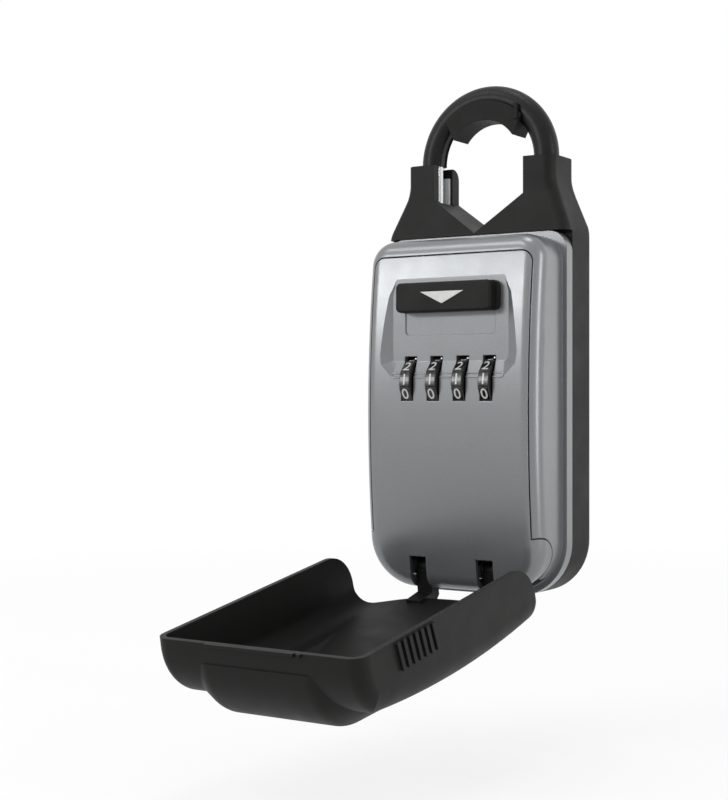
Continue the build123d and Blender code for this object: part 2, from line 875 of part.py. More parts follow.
def cover_base(inset, rim):
    """Deep tray of the cover, closed: tight upright corners, wide front edges."""
    short = bowed_tray(inset, rim, cover_end - inset, cover_corner)
    return short & bowed_tray(inset, rim, cover_end + 20, cover_edge)


def crown_section(inset):
    """Section of the crown across its length: flat middle, rounded ridges, sloped flanks."""
    level = crown_face + inset
    half = crown_half_width - inset * tan(radians(crown_slope / 2))
    foot = half + crown_depth / tan(radians(crown_slope))
    root = level + crown_depth
    face = make_face(Polyline((-foot, root), (-half, level), (half, level), (foot, root), close=True))
    return fillet(face.vertices().group_by(Axis.Y)[0], crown_edge)


def cover_crown(inset):
    """Raised middle of the cover over the slider and dials, rolled up over the far end."""
    turn_y = crown_face + crown_end_radius
    turn_z = cover_end - crown_end_radius
    section = Pos(0, 0, turn_z) * crown_section(inset)
    crown = extrude(section, amount=turn_z - crown_fade, dir=(0, 0, -1))
    crown += revolve(section, Axis((0, turn_y, turn_z), (1, 0, 0)), -90)
    fade = side_plate(
        [
            (-60, crown_fade),
            (cover_face + crown_fade_sink + inset, crown_fade),
            (crown_face + inset, crown_flat_end),
            (-60, crown_flat_end),
        ],
        -60,
        60,
    )
    return crown - fade


def cover_extent():
    """Space the cover fills at its hinge end: round wall ends and a curved floor edge."""
    walls = box(-50, 50, -60, cover_rim, cover_wall_end, 0)
    corner = walls.edges().filter_by(Axis.X).sort_by(lambda e: e.center().Y - e.center().Z)[-1]
    walls = fillet(corner, cover_wall_round)
    half_edge = [(30.0, -150.4), (20.0, -155.6), (10.0, -157.4)]
    edge = [(-42.0, cover_wall_end)] + [(-x, z) for x, z in half_edge]
    edge += [(0, -157.8)] + list(reversed(half_edge)) + [(42.0, cover_wall_end)]
    curve = Spline(*edge)
    rest = Polyline((42.0, cover_wall_end), (42.0, -100), (-42.0, -100), (-42.0, cover_wall_end))
    floor = Plane.XZ * make_face(curve + rest)
    return walls + Pos(0, floor_edge_y, 0) * extrude(floor, amount=30)


def cover_arms():
    """Two arms from the hinge to the floor of the cover."""
    low, high = slot_centre - arm_width / 2, slot_centre + arm_width / 2
    top = hinge_z + arm_top
    bottom = hinge_z - 0.8
    outline = [
        (hinge_y, top),
        (-33.3, top),
        (-34.1, -151.5),
        (-36.4, -151.5),
        (-37.1, -157.0),
        (-37.1, bottom + 2),
        (-35.5, bottom),
        (hinge_y, bottom),
    ]
    arm = side_plate(outline, low, high) + rod_x(hinge_y, hinge_z, knuckle_radius - 0.2, low, high)
    hole = rod_x(hinge_y, hinge_z, pin_radius + pin_fit, low - 1, high + 1)
    return mirrored(arm), mirrored(hole)


def cover_lip():
    """Thin finger lip along the far end of the rim, with a small notch."""
    lip = box(-lip_half, lip_half, cover_rim - lip_height, cover_rim, cover_end - 1, cover_end + lip_reach)
    low, high = lip_notch - lip_notch_width / 2, lip_notch + lip_notch_width / 2
    return lip - box(low, high, cover_rim - lip_height, cover_rim + 1, cover_end, cover_end + 5)


def grip_ribs():
    """Slanted ribs on both side walls, near the rim."""
    ribs = []
    for n in range(rib_count):
        z = rib_first + n * rib_pitch
        bar = Box(2 * rib_height, rib_length, rib_thickness)
        ribs.append(Pos(cover_half_width, cover_rim - rib_length / 2 - 0.6, z) * Rot(rib_slant, 0, 0) * bar)
    return mirrored(Part() + ribs)


def make_cover():
    """Weather cover in its open pose."""
    cover = cover_base(0, cover_rim) + cover_crown(0)
    cover -= cover_base(cover_wall, 0) + cover_crown(cover_wall)
    cover = cover & cover_extent()
    arms, holes = cover_arms()
    cover += arms + cover_lip() + grip_ribs()
    cover -= holes
    axis = Axis((0, hinge_y, hinge_z), (1, 0, 0))
    return cover.rotate(axis, cover_angle)


def save(node, shape):
    """Write one node, with identical pieces as separate solids."""
    if isinstance(shape, list):
        shape = Compound(children=shape)
    export_step(shape, f"parts/{node}.step")


save("case_body", make_case())
save("rear_jacket", make_jacket())
save("front_door", make_door())
save("lock_housing", lock_housing())
for number, place in enumerate(dial_places(), start=1):
    save(f"dial_{number}", make_dial(place))
    save(f"cam_{number}", make_cam(place))
save("dial_axle", dial_axle())
save("detent_spring", detent_spring())
save("open_slider", open_slider())
save("slider_arrow", arrow_prism())
save("latch_plate", latch_plate())
save("latch_fingers", latch_fingers())
save("latch_springs", latch_springs())
save("code_lever", code_lever())
save("hinge_pin", hinge_pin())
save("weather_cover", make_cover())
save("shackle_core", shackle_core())
save("shackle_sleeve", shackle_sleeve())
save("saddle_pad", saddle_pad())
save("stop_ring", heel_ring())
save("shackle_latch", shackle_latch_plate())
save("release_button", release_button())
save("case_screws", jacket_screws())
save("housing_screws", housing_screws())
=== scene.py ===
"""Portable key safe: number wheels, finishes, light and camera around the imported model."""

import json
import math

import bpy
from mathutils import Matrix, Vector


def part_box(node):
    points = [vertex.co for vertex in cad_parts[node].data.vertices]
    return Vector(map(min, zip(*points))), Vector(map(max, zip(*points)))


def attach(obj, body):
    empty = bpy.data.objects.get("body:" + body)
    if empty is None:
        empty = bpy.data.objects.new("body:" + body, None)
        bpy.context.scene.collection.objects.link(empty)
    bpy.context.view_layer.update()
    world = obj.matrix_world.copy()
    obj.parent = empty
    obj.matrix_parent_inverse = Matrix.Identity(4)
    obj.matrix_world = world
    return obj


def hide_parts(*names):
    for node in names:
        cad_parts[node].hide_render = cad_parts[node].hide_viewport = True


bl_info = {
    "name": "Portable Key Safe",
    "version": (1, 0, 0),
    "blender": (4, 5, 0),
    "location": "View3D > Sidebar > Key Safe",
    "description": "Dresses the packed key safe with its finishes, number wheels and studio",
    "category": "Object",
}

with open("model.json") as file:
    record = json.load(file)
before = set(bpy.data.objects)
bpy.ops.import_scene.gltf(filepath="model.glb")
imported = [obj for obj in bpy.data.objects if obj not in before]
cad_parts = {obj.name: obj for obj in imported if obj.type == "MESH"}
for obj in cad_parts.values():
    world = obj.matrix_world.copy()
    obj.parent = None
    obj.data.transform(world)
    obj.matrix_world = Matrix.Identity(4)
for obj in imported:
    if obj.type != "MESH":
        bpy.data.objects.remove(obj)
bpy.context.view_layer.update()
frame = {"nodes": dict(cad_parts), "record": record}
MM = 0.001
WHEELS = 4

# Faces of a wheel, the steps across one, and the angle of the nought's face in degrees
FACES = 10
FACE_STEPS = 6
FIRST_FACE_ANGLE = -27.0

# Height of the tallest digits of the built-in font, as a share of the text size
DIGIT_SHARE = 0.7

# Share of the face's bulge at which a digit has its foot, so that its ends are sunk in the face too
DIGIT_FOOT = 0.3

# Points round a glint pin, a small bright steel pin that stands in for a glint as a painted highlight, and
# its radius and rise from foot to crown as shares of its size
PIN_STEPS = 16
PIN_PROFILE = ((1.0, 0.0), (1.0, 0.6), (0.8, 0.9), (0.4, 1.0))

# Studio: places and distances in metres, the turn in degrees, the lens and its sensor in millimetres
CAMERA_PLACE = (0.30093, -0.55608, -0.09807)
CAMERA_TURN = 33.12
CAMERA_LENS = 68.69
SENSOR_WIDTH = 36.0
LAMP_TARGET = (0, -0.02, -0.1)
LAMP_DISTANCE = 1.2
WORLD_LIGHT = 0.55
FLOOR_LEVEL = -0.235
FLOOR_HALF = 3.0


# Settings

def linear(hex_colour):
    """Linear colour of an sRGB hex value."""
    value = hex_colour.lstrip("#")
    parts = [int(value[i:i + 2], 16) / 255 for i in (0, 2, 4)]
    return [c / 12.92 if c <= 0.04045 else ((c + 0.055) / 1.055) ** 2.4 for c in parts]


def length(name, description, millimetres):
    """Length property, shown in the scene's unit."""
    return bpy.props.FloatProperty(
        name=name, description=description, default=millimetres * MM, unit="LENGTH", precision=5
    )


def colour(name, description, hex_colour):
    """Colour property with an sRGB hex value as its default."""
    return bpy.props.FloatVectorProperty(
        name=name, description=description, default=linear(hex_colour), subtype="COLOR", min=0, max=1
    )


class KeySafeSizes(bpy.types.PropertyGroup):
    """Sizes of the wheels, digits and soft edges."""

    wheel_width: length("Wheel width", "Width of one number wheel", 4.9)
    wheel_flat: length("Wheel flat", "Distance from the axle to a number face", 9.3)
    face_bulge: length("Face bulge", "How far the middle of a number face stands out", 0.16)
    groove_width: length("Groove width", "Width of the finger groove between two faces", 0.7)
    groove_depth: length("Groove depth", "Depth of the finger groove between two faces", 0.45)
    rim_chamfer: length("Rim chamfer", "Chamfer round both rims of a wheel", 0.35)
    hub_radius: length("Hub recess radius", "Radius of the recess for the cam sleeve", 6.2)
    hub_depth: length("Hub recess depth", "Depth of the recess for the cam sleeve", 1.2)
    bore_radius: length("Bore radius", "Radius of the bore for the axle", 1.55)
    digit_height: length("Digit height", "Height of the tallest digits, thickened", 4.4357)
    digit_relief: length("Digit relief", "How far a digit stands out of its face", 0.06)
    digit_weight: length("Digit weight", "How much the strokes are thickened on each side", 0.03)
    # The pins below are painted highlights: bright steel pins that stand in for a glint at each wheel
    # window, not index marks.
    pin_side: length("Index pin side", "Place of a pin along X, from the middle of its wheel", 2.0)
    pin_front: length("Index pin depth", "Place of the foot of a pin along Y", -32.2)
    pin_level: length("Index pin level", "Place of a pin along Z", -81.6)
    pin_radius: length("Index pin radius", "Radius of the bright index pin beside each wheel", 0.45)
    pin_height: length("Index pin height", "How far an index pin stands out", 0.35)
    casting_edge: length("Casting edge", "Softness of the edges of a casting", 0.45)
    moulding_edge: length("Moulding edge", "Softness of the edges of a moulding", 0.4)
    metal_edge: length("Metal edge", "Softness of the edges of steel and brass", 0.2)


class KeySafeColours(bpy.types.PropertyGroup):
    """Colours of the finishes."""

    silver: colour("Silver", "Satin silver lacquer on the castings", "#7D7F81")
    bare_zinc: colour("Bare zinc", "Raw casting skin on the shackle posts", "#C9CACC")
    black: colour("Black", "Black moulded parts", "#141413")
    wheel: colour("Wheel", "Black of the number wheels", "#101011")
    coating: colour("Coating", "Black coating of the shackle", "#121212")
    pad: colour("Pad", "Black of the soft saddle pad", "#171716")
    white: colour("White", "White of the digits and the arrow", "#C9C9C7")
    steel: colour("Steel", "Bright plated steel", "#CDCECF")
    brass: colour("Brass", "Turned brass of the cam sleeves", "#B8964E")
    grey: colour("Grey", "Grey nylon of the lock housing", "#55565A")
    paper: colour("Paper", "White studio paper", "#FFFFFF")


def sizes():
    """Sizes in use."""
    return bpy.context.scene.key_safe_sizes


def colours():
    """Colours in use."""
    return bpy.context.scene.key_safe_colours


# Materials

def add_node(tree, kind, links=None, **settings):
    """Add a node with its settings; links maps an input to an output socket."""
    node = tree.nodes.new(kind)
    for key, value in settings.items():
        socket = node.inputs.get(key.replace("_", " ").title())
        if socket:
            socket.default_value = value
        else:
            setattr(node, key, value)
    for key, source in (links or {}).items():
        tree.links.new(source, node.inputs[key])
    return node


def new_material(name, base, roughness, metallic=0.0, **sockets):
    """Material with one principled shader; returns it with its tree, shader and position."""
    material = bpy.data.materials.new(name)
    material.use_nodes = True
    tree = material.node_tree
    shader = tree.nodes["Principled BSDF"]
    shader.inputs["Base Color"].default_value = (*base, 1.0)
    shader.inputs["Roughness"].default_value = roughness
    shader.inputs["Metallic"].default_value = metallic
    for key, value in sockets.items():
        shader.inputs[key.replace("_", " ").title().replace("Ior", "IOR")].default_value = value
    place = add_node(tree, "ShaderNodeTexCoord").outputs["Object"]
    return material, tree, shader, place


def per_metre(size_mm):
    """Noise scale that gives features of this size."""
    return 1 / (size_mm * MM)


def grain(tree, place, size_mm, depth_mm, edge):
    """Normal with a fine moulded or sprayed grain and softly rounded edges."""
    soft = add_node(tree, "ShaderNodeBevel", samples=4, radius=edge)
    noise = add_node(tree, "ShaderNodeTexNoise", {"Vector": place}, scale=per_metre(size_mm), detail=2.0)
    links = {"Height": noise.outputs["Fac"], "Normal": soft.outputs["Normal"]}
    return add_node(tree, "ShaderNodeBump", links, distance=depth_mm * MM).outputs["Normal"]


def varied(tree, place, size_mm, low, high):
    """Value that wanders between two limits over a given distance."""
    noise = add_node(tree, "ShaderNodeTexNoise", {"Vector": place}, scale=per_metre(size_mm), detail=3.0)
    middle_of_noise = dict(from_min=0.3, from_max=0.7)
    limits = dict(middle_of_noise, to_min=low, to_max=high)
    return add_node(tree, "ShaderNodeMapRange", {"Value": noise.outputs["Fac"]}, **limits).outputs["Result"]


def blended(tree, factor, first, second):
    """Colour between two colours, or between a colour and another socket."""
    mix = add_node(tree, "ShaderNodeMix", data_type="RGBA")
    tree.links.new(factor, mix.inputs[0])
    for socket, value in ((mix.inputs[6], first), (mix.inputs[7], second)):
        if isinstance(value, bpy.types.NodeSocket):
            tree.links.new(value, socket)
        else:
            socket.default_value = (*value, 1.0)
    return mix.outputs[2]


def shade(base, factor):
    """Lighter or darker version of a colour."""
    return [min(1.0, channel * factor) for channel in base]


def above(tree, place, level_mm, blur_mm):
    """One above a level, zero below it."""
    height = add_node(tree, "ShaderNodeSeparateXYZ", {"Vector": place}).outputs["Z"]
    limits = dict(from_min=level_mm * MM, from_max=(level_mm + blur_mm) * MM)
    return add_node(tree, "ShaderNodeMapRange", {"Value": height}, **limits).outputs["Result"]


def silver_lacquer():
    """Silver lacquer sprayed on die-cast zinc.

    Aluminium flakes give a soft metallic sheen; they are drawn at 0.4 mm, coarser than
    real ones, so that they show. The posts above the body keep their raw casting skin.
    """
    silver = colours().silver
    material, tree, shader, place = new_material("silver_lacquer_on_zinc", silver, 0.3, metallic=0.5)
    glitter = varied(tree, place, size_mm=0.4, low=0.0, high=1.0)
    flakes = blended(tree, glitter, shade(silver, 0.93), shade(silver, 1.07))
    bare = above(tree, place, level_mm=-31.0, blur_mm=0.3)
    base = blended(tree, bare, flakes, colours().bare_zinc)
    sheen = varied(tree, place, size_mm=9.0, low=0.28, high=0.32)
    skin = grain(tree, place, size_mm=0.6, depth_mm=0.004, edge=sizes().casting_edge)
    tree.links.new(base, shader.inputs["Base Color"])
    tree.links.new(sheen, shader.inputs["Roughness"])
    tree.links.new(skin, shader.inputs["Normal"])
    return material


def black_abs():
    """ABS moulded in spark-eroded tools: deep black with a fine matt grain and a broad sheen."""
    black = colours().black
    material, tree, shader, place = new_material(
        "grained_black_abs", black, 0.5, ior=1.53, specular_ior_level=0.15
    )
    sheen = varied(tree, place, size_mm=12.0, low=0.47, high=0.56)
    skin = grain(tree, place, size_mm=0.45, depth_mm=0.03, edge=sizes().moulding_edge)
    tree.links.new(sheen, shader.inputs["Roughness"])
    tree.links.new(skin, shader.inputs["Normal"])
    return material


def plain_finish(name, base, roughness, metallic=0.0, grain_mm=0.4, depth_mm=0.004, **sockets):
    """Even finish with a little wander in its colour and sheen."""
    material, tree, shader, place = new_material(name, base, roughness, metallic, **sockets)
    wander = varied(tree, place, size_mm=3.0, low=0.0, high=1.0)
    tone = blended(tree, wander, shade(base, 0.95), shade(base, 1.05))
    sheen = varied(tree, place, size_mm=4.0, low=roughness - 0.03, high=roughness + 0.03)
    tree.links.new(tone, shader.inputs["Base Color"])
    tree.links.new(sheen, shader.inputs["Roughness"])
    tree.links.new(grain(tree, place, grain_mm, depth_mm, sizes().metal_edge), shader.inputs["Normal"])
    return material


def paper():
    """White studio paper: white to the eye and in gloss, and a little shaded near the object."""
    material, tree, shader, place = new_material("matt_white_paper", colours().paper, 0.9)
    away = add_node(tree, "ShaderNodeVectorMath", {0: place}, operation="LENGTH").outputs["Value"]
    near_to_far = dict(from_min=0.3, from_max=0.9, to_min=0.8, to_max=1.0)
    glowing = add_node(tree, "ShaderNodeMapRange", {"Value": away}, **near_to_far).outputs["Result"]
    seen = seen_directly(tree)
    share = add_node(tree, "ShaderNodeMath", {0: seen, 1: glowing}, operation="MULTIPLY")
    glow = add_node(tree, "ShaderNodeEmission", color=(*colours().paper, 1.0), strength=1.0)
    links = {0: share.outputs[0], 1: shader.outputs[0], 2: glow.outputs[0]}
    mix = add_node(tree, "ShaderNodeMixShader", links)
    tree.links.new(mix.outputs[0], tree.nodes["Material Output"].inputs["Surface"])
    return material


def seen_directly(tree):
    """One for rays that show the background: camera, glossy and transmission rays."""
    path = add_node(tree, "ShaderNodeLightPath").outputs
    first = {0: path["Is Camera Ray"], 1: path["Is Glossy Ray"]}
    either = add_node(tree, "ShaderNodeMath", first, operation="MAXIMUM").outputs[0]
    second = {0: either, 1: path["Is Transmission Ray"]}
    return add_node(tree, "ShaderNodeMath", second, operation="MAXIMUM").outputs[0]


def make_finishes():
    """Material for each slot of the record."""
    tone = colours()
    return {
        "zinc": silver_lacquer(),
        "black_shell": black_abs(),
        # Cold-drawn steel with a thin zinc plating: bright, with a slightly uneven sheen.
        "steel": plain_finish("bright_plated_steel", tone.steel, 0.26, 1.0),
        # Brass from the lathe: warm and bright, with a faint grain.
        "brass": plain_finish("turned_brass", tone.brass, 0.3, 1.0),
        # Acetal wheels: hard, slippery and glossy black.
        "black_wheel": plain_finish("black_acetal", tone.wheel, 0.22, ior=1.48),
        # Vinyl dip coating: smooth, slightly wavy and satin.
        "black_coating": plain_finish(
            "black_vinyl_coating", tone.coating, 0.4, grain_mm=2.5, depth_mm=0.02, specular_ior_level=0.2
        ),
        # Soft rubber: dull with a fine grain.
        "soft_pad": plain_finish(
            "black_rubber", tone.pad, 0.6, grain_mm=0.5, depth_mm=0.02, specular_ior_level=0.15
        ),
        # White ABS and paint filling: clean and slightly satin.
        "white_inlay": plain_finish("white_paint_filling", tone.white, 0.4, ior=1.5),
        # Glass-filled nylon: dull grey with a slightly uneven skin.
        "grey_plastic": plain_finish("grey_glass_filled_nylon", tone.grey, 0.5, depth_mm=0.01, ior=1.53),
    }


finishes = {}


# Mesh helpers

def new_object(name, vertices, faces):
    """Mesh object at the origin."""
    mesh = bpy.data.meshes.new(name)
    mesh.from_pydata(vertices, [], faces)
    mesh.update()
    obj = bpy.data.objects.new(name, mesh)
    bpy.context.scene.collection.objects.link(obj)
    return obj


def bridge(rings, count, closed):
    """Faces between rings of points that follow each other."""
    faces = []
    pairs = len(rings) if closed else len(rings) - 1
    for k in range(pairs):
        first, second = k * count, (k + 1) % len(rings) * count
        for i in range(count):
            j = (i + 1) % count
            faces.append((first + i, first + j, second + j, second + i))
    return faces


def around_x(centre, x, radius, angle):
    """Point at an angle round an axis along X; zero faces the front, and it turns up."""
    return (centre[0] + x, centre[1] - radius * math.cos(angle), centre[2] + radius * math.sin(angle))


# Number wheels

def wheel_centre(number):
    """Middle of a wheel, from its CAD node."""
    low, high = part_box(f"dial_{number}")
    return (low + high) / 2


def face_angle(digit):
    """Angle of the face that carries a digit; the nought is below the front and the rest follow upwards."""
    return math.radians(FIRST_FACE_ANGLE + digit * 360 / FACES)


def wheel_outline(inset):
    """Radius and angle of the points round a wheel: ten gently bulging faces with grooves between."""
    size = sizes()
    flat = size.wheel_flat - inset
    half_step = math.pi / FACES
    reach = flat * math.tan(half_step) - size.groove_width / 2
    points = []
    for face in range(FACES):
        middle = face_angle(face)
        for k in range(FACE_STEPS + 1):
            share = 2 * k / FACE_STEPS - 1
            out = flat + size.face_bulge * (1 - share ** 2)
            points.append((math.hypot(out, share * reach), middle + math.atan2(share * reach, out)))
        points.append((flat / math.cos(half_step) - size.groove_depth, middle + half_step))
    return points


def wheel_rings():
    """Rings of (x, outline) of a wheel, from the left rim over the outside and back through the bore."""
    size = sizes()
    half = size.wheel_width / 2
    full, rim = wheel_outline(0), wheel_outline(size.rim_chamfer)
    hub = [(size.hub_radius, angle) for radius, angle in full]
    bore = [(size.bore_radius, angle) for radius, angle in full]
    inner = half - size.hub_depth
    return [
        (-half, rim),
        (-half + size.rim_chamfer, full),
        (half - size.rim_chamfer, full),
        (half, rim),
        (half, hub),
        (inner, hub),
        (inner, bore),
        (-half, bore),
    ]


def make_wheel(number):
    """One number wheel in place of its CAD node."""
    centre = wheel_centre(number)
    rings = wheel_rings()
    vertices = [around_x(centre, x, radius, angle) for x, ring in rings for radius, angle in ring]
    wheel = new_object(f"number_wheel_{number}", vertices, bridge(rings, len(rings[0][1]), True))
    wheel.data.materials.append(finishes["black_wheel"])
    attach(wheel, f"wheel_{number}")
    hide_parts(f"dial_{number}")


def add_socket(tree, name, kind, direction="INPUT"):
    """Named socket of a node group; returns its identifier."""
    return tree.interface.new_socket(name=name, in_out=direction, socket_type=kind).identifier


def digit_ring_tree():
    """Node tree that writes the ten digits round a wheel, one on each face."""
    tree = bpy.data.node_groups.new("digit_ring", "GeometryNodeTree")
    names = {}
    for name, kind in (
        ("Height", "NodeSocketFloat"),
        ("Relief", "NodeSocketFloat"),
        ("Weight", "NodeSocketFloat"),
        ("Face Distance", "NodeSocketFloat"),
        ("First Angle", "NodeSocketFloat"),
        ("Centre", "NodeSocketVector"),
        ("Material", "NodeSocketMaterial"),
    ):
        names[name] = add_socket(tree, name, kind)
    add_socket(tree, "Geometry", "NodeSocketGeometry", "OUTPUT")
    given = add_node(tree, "NodeGroupInput").outputs
    text = add_node(tree, "GeometryNodeStringToCurves", {"Size": given["Height"]}, pivot_mode="MIDPOINT")
    text.inputs["String"].default_value = "".join(str(digit) for digit in range(FACES))
    glyphs = gathered_glyphs(tree, text)
    bold = thickened(tree, glyphs, given["Weight"])
    digit = add_node(tree, "GeometryNodeInputNamedAttribute", data_type="INT", name="digit")
    split = {"Geometry": bold, "Group ID": digit.outputs["Attribute"]}
    apart = add_node(tree, "GeometryNodeSplitToInstances", split, domain="CURVE")
    outlines = {"Curve": apart.outputs["Instances"]}
    filled = add_node(tree, "GeometryNodeFillCurve", outlines, mode="TRIANGLES")
    solid = add_node(
        tree, "GeometryNodeExtrudeMesh", {"Mesh": filled.outputs[0], "Offset Scale": given["Relief"]}
    )
    solid.inputs["Individual"].default_value = False
    ring = round_the_wheel(tree, solid.outputs["Mesh"], apart.outputs["Group ID"], given)
    plain = add_node(tree, "GeometryNodeRealizeInstances", {"Geometry": ring})
    dressed = add_node(
        tree, "GeometryNodeSetMaterial", {"Geometry": plain.outputs[0], "Material": given["Material"]}
    )
    add_node(tree, "NodeGroupOutput", {"Geometry": dressed.outputs[0]})
    return tree, names


def gathered_glyphs(tree, text):
    """Curves of the characters, each centred on the origin and numbered by its place in the string."""
    origin = add_node(tree, "ShaderNodeCombineXYZ").outputs[0]
    stacked = add_node(
        tree, "GeometryNodeSetPosition", {"Geometry": text.outputs["Curve Instances"], "Position": origin}
    )
    back = add_node(tree, "ShaderNodeVectorMath", {0: text.outputs["Pivot Point"]}, operation="SCALE")
    back.inputs["Scale"].default_value = -1.0
    shift = {"Instances": stacked.outputs[0], "Translation": back.outputs[0]}
    centred = add_node(tree, "GeometryNodeTranslateInstances", shift)
    order = add_node(tree, "GeometryNodeInputIndex").outputs[0]
    numbered = add_node(
        tree,
        "GeometryNodeStoreNamedAttribute",
        {"Geometry": centred.outputs[0], "Value": order},
        domain="INSTANCE",
        data_type="INT",
        name="digit",
    )
    real = add_node(tree, "GeometryNodeRealizeInstances", {"Geometry": numbered.outputs[0]})
    fine = add_node(tree, "GeometryNodeResampleCurve", {"Curve": real.outputs[0]}, mode="EVALUATED")
    return fine.outputs[0]


def thickened(tree, curves, weight):
    """Outlines moved outwards by the weight, which makes the strokes bolder."""
    tangent = add_node(tree, "GeometryNodeInputTangent").outputs["Tangent"]
    side = add_node(tree, "ShaderNodeVectorMath", {0: tangent}, operation="CROSS_PRODUCT")
    side.inputs[1].default_value = (0, 0, 1)
    grow = add_node(tree, "ShaderNodeVectorMath", {0: side.outputs[0], "Scale": weight}, operation="SCALE")
    moved = add_node(tree, "GeometryNodeSetPosition", {"Geometry": curves, "Offset": grow.outputs[0]})
    return moved.outputs[0]


def round_the_wheel(tree, glyphs, digit, given):
    """Each glyph moved onto its own face of the wheel."""
    out = add_node(tree, "ShaderNodeCombineXYZ", {"Z": given["Face Distance"]}).outputs[0]
    raised = add_node(tree, "GeometryNodeTranslateInstances", {"Instances": glyphs, "Translation": out})
    step = add_node(tree, "ShaderNodeMath", {0: digit, 2: given["First Angle"]}, operation="MULTIPLY_ADD")
    step.inputs[1].default_value = 2 * math.pi / FACES
    lean = add_node(tree, "ShaderNodeMath", {1: step.outputs[0]}, operation="SUBTRACT")
    lean.inputs[0].default_value = math.pi / 2
    turn = add_node(tree, "ShaderNodeCombineXYZ", {"X": lean.outputs[0]}).outputs[0]
    ring = add_node(tree, "GeometryNodeRotateInstances", {"Instances": raised.outputs[0], "Rotation": turn})
    ring.inputs["Local Space"].default_value = False
    shift = {"Instances": ring.outputs[0], "Translation": given["Centre"]}
    placed = add_node(tree, "GeometryNodeTranslateInstances", shift)
    placed.inputs["Local Space"].default_value = False
    return placed.outputs[0]


def baked(obj):
    """Turn an object with a node modifier into a plain mesh."""
    bpy.context.view_layer.update()
    evaluated = obj.evaluated_get(bpy.context.evaluated_depsgraph_get())
    mesh = bpy.data.meshes.new_from_object(evaluated)
    obj.modifiers.clear()
    obj.data = mesh
    return obj


def make_digits(number, tree, names):
    """White digits on one wheel."""
    size = sizes()
    digits = new_object(f"wheel_digits_{number}", [], [])
    modifier = digits.modifiers.new("digit_ring", "NODES")
    modifier.node_group = tree
    settings = {
        "Height": (size.digit_height - 2 * size.digit_weight) / DIGIT_SHARE,
        "Relief": size.digit_relief + (1 - DIGIT_FOOT) * size.face_bulge,
        "Weight": size.digit_weight,
        "Face Distance": size.wheel_flat + DIGIT_FOOT * size.face_bulge,
        "First Angle": face_angle(0),
        "Centre": tuple(wheel_centre(number)),
        "Material": finishes["white_inlay"],
    }
    for name, value in settings.items():
        modifier[names[name]] = value
    baked(digits)
    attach(digits, f"wheel_{number}")


def pin_rings(foot):
    """Rings of points of one glint pin, from its foot to its crown."""
    size = sizes()
    rings = []
    for width, rise in PIN_PROFILE:
        radius = width * size.pin_radius
        ring = []
        for i in range(PIN_STEPS):
            angle = 2 * math.pi * i / PIN_STEPS
            across, up = radius * math.cos(angle), radius * math.sin(angle)
            ring.append(foot + Vector((across, -rise * size.pin_height, up)))
        rings.append(ring)
    return rings


def make_index_pins():
    """Small bright steel pin at the top right of each wheel window, which stands in for a glint there: a
    painted highlight.
    """
    size = sizes()
    vertices, faces = [], []
    for number in range(1, WHEELS + 1):
        foot = Vector((wheel_centre(number).x + size.pin_side, size.pin_front, size.pin_level))
        rings = pin_rings(foot)
        start = len(vertices)
        for ring in rings:
            vertices += ring
        for face in bridge(rings, PIN_STEPS, False):
            faces.append([start + i for i in face])
        faces.append([start + i for i in reversed(range(PIN_STEPS))])
        faces.append([start + PIN_STEPS * (len(rings) - 1) + i for i in range(PIN_STEPS)])
    # Bright steel pins that stand in for a glint: a painted highlight.
    pins = new_object("index_pins", vertices, faces)
    pins.data.materials.append(finishes["steel"])
    for face in pins.data.polygons:
        face.use_smooth = True
    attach(pins, "door")


# Studio

def add_camera():
    """Camera at the photograph's place, level, turned towards the left side."""
    data = bpy.data.cameras.new("camera")
    data.lens = CAMERA_LENS
    data.sensor_width = SENSOR_WIDTH
    camera = bpy.data.objects.new("camera", data)
    camera.location = CAMERA_PLACE
    camera.rotation_euler = (math.radians(90), 0, math.radians(CAMERA_TURN))
    bpy.context.scene.collection.objects.link(camera)
    bpy.context.scene.camera = camera


def add_lamp(name, turn, rise, size, power):
    """Soft lamp that looks at the body from an azimuth (0 in front, 90 at the right) and elevation."""
    turn, rise = math.radians(turn), math.radians(rise)
    away = Vector((math.sin(turn) * math.cos(rise), -math.cos(turn) * math.cos(rise), math.sin(rise)))
    data = bpy.data.lights.new(name, "AREA")
    data.shape = "RECTANGLE"
    data.size, data.size_y = size
    data.energy = power
    lamp = bpy.data.objects.new(name, data)
    lamp.location = Vector(LAMP_TARGET) + away * LAMP_DISTANCE
    lamp.rotation_euler = (-away).to_track_quat("-Z", "Y").to_euler()
    bpy.context.scene.collection.objects.link(lamp)


def add_lamps():
    """Soft lamps round the object."""
    add_lamp("front_left", turn=-33, rise=16, size=(0.5, 0.14), power=3.5)
    add_lamp("high_front_left", turn=-35, rise=50, size=(0.6, 0.3), power=2.4)
    add_lamp("overhead", turn=0, rise=85, size=(0.35, 0.35), power=2.5)
    add_lamp("right", turn=88, rise=6, size=(0.16, 1.0), power=4.8)
    add_lamp("rear_right", turn=145, rise=15, size=(0.6, 0.9), power=1.0)


def add_world():
    """White behind the object and in its gloss, and a plain grey as light."""
    world = bpy.data.worlds.new("studio")
    bpy.context.scene.world = world
    world.use_nodes = True
    tree = world.node_tree
    tree.nodes.clear()
    light = add_node(tree, "ShaderNodeBackground", color=(1, 1, 1, 1), strength=WORLD_LIGHT)
    white = add_node(tree, "ShaderNodeBackground", color=(1, 1, 1, 1), strength=1.0)
    links = {0: seen_directly(tree), 1: light.outputs[0], 2: white.outputs[0]}
    mix = add_node(tree, "ShaderNodeMixShader", links)
    add_node(tree, "ShaderNodeOutputWorld", {"Surface": mix.outputs[0]})


def add_floor():
    """Pale floor a little below the open cover."""
    corners = [
        (x * FLOOR_HALF, y * FLOOR_HALF, FLOOR_LEVEL) for x, y in ((-1, -1), (1, -1), (1, 1), (-1, 1))
    ]
    floor = new_object("floor", corners, [(0, 1, 2, 3)])
    floor.data.materials.append(paper())


# Operators

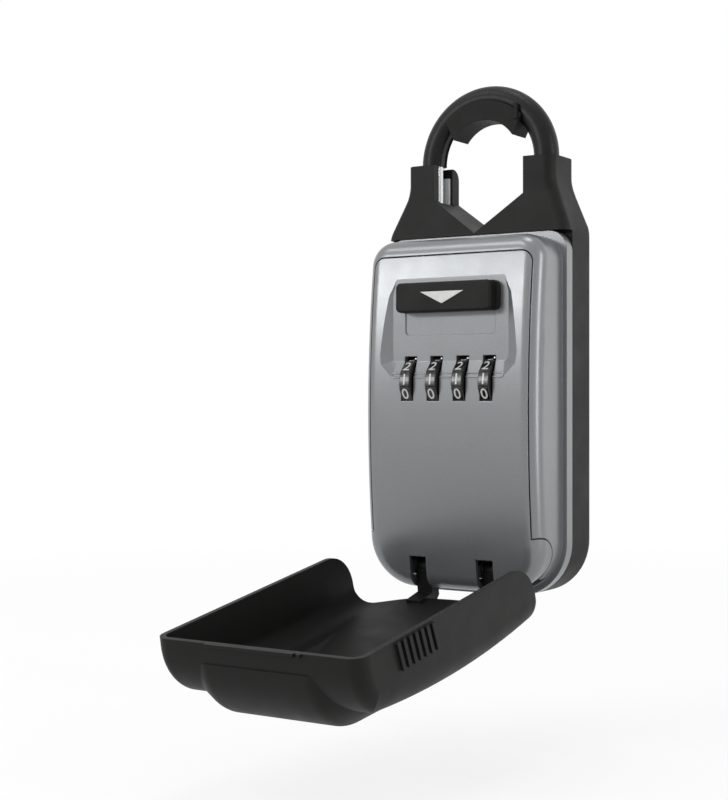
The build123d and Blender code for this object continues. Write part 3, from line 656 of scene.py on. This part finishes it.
class KEYSAFE_OT_finishes(bpy.types.Operator):
    """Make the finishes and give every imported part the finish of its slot"""

    bl_idname = "keysafe.finishes"
    bl_label = "Dress the packed parts"

    def execute(self, context):
        finishes.update(make_finishes())
        for part in frame["record"]["subparts"]:
            node = frame["nodes"][part["node"]]
            node.data.materials.clear()
            node.data.materials.append(finishes[part["material_slot"]])
        return {"FINISHED"}


class KEYSAFE_OT_wheels(bpy.types.Operator):
    """Make the four grooved number wheels"""

    bl_idname = "keysafe.wheels"
    bl_label = "Number wheels"

    def execute(self, context):
        for number in range(1, WHEELS + 1):
            make_wheel(number)
        return {"FINISHED"}


class KEYSAFE_OT_digits(bpy.types.Operator):
    """Write the ten digits round each wheel"""

    bl_idname = "keysafe.digits"
    bl_label = "Wheel digits"

    def execute(self, context):
        tree, names = digit_ring_tree()
        for number in range(1, WHEELS + 1):
            make_digits(number, tree, names)
        return {"FINISHED"}


class KEYSAFE_OT_index_pins(bpy.types.Operator):
    """Make the bright glint pins beside the wheels, which stand in for a painted highlight"""

    bl_idname = "keysafe.index_pins"
    # These pins stand in for a glint, a painted highlight.
    bl_label = "Index pins"

    def execute(self, context):
        make_index_pins()
        return {"FINISHED"}


class KEYSAFE_OT_studio(bpy.types.Operator):
    """Set up the camera, the lamps, the background and the floor"""

    bl_idname = "keysafe.studio"
    bl_label = "Studio"

    def execute(self, context):
        add_camera()
        add_world()
        add_floor()
        add_lamps()
        context.scene.view_settings.view_transform = "Standard"
        return {"FINISHED"}


OPERATORS = (
    KEYSAFE_OT_finishes,
    KEYSAFE_OT_wheels,
    KEYSAFE_OT_digits,
    KEYSAFE_OT_index_pins,
    KEYSAFE_OT_studio,
)


class KEYSAFE_PT_panel(bpy.types.Panel):
    """Sidebar panel with the pieces, sizes and colours"""

    bl_label = "Key Safe"
    bl_idname = "KEYSAFE_PT_panel"
    bl_space_type = "VIEW_3D"
    bl_region_type = "UI"
    bl_category = "Key Safe"

    def draw(self, context):
        for operator in OPERATORS:
            self.layout.operator(operator.bl_idname)
        for group in (context.scene.key_safe_sizes, context.scene.key_safe_colours):
            for name in group.__annotations__:
                self.layout.prop(group, name)


CLASSES = (KeySafeSizes, KeySafeColours, *OPERATORS, KEYSAFE_PT_panel)


def register():
    """Register the classes and hang the settings on the scene."""
    for item in CLASSES:
        bpy.utils.register_class(item)
    bpy.types.Scene.key_safe_sizes = bpy.props.PointerProperty(type=KeySafeSizes)
    bpy.types.Scene.key_safe_colours = bpy.props.PointerProperty(type=KeySafeColours)


def unregister():
    """Remove the settings and the classes."""
    del bpy.types.Scene.key_safe_colours
    del bpy.types.Scene.key_safe_sizes
    for item in reversed(CLASSES):
        bpy.utils.unregister_class(item)


def main():
    """Build every piece and the studio."""
    register()
    bpy.ops.keysafe.finishes()
    bpy.ops.keysafe.wheels()
    bpy.ops.keysafe.digits()
    bpy.ops.keysafe.index_pins()
    bpy.ops.keysafe.studio()


if __name__ == "__main__":
    main()
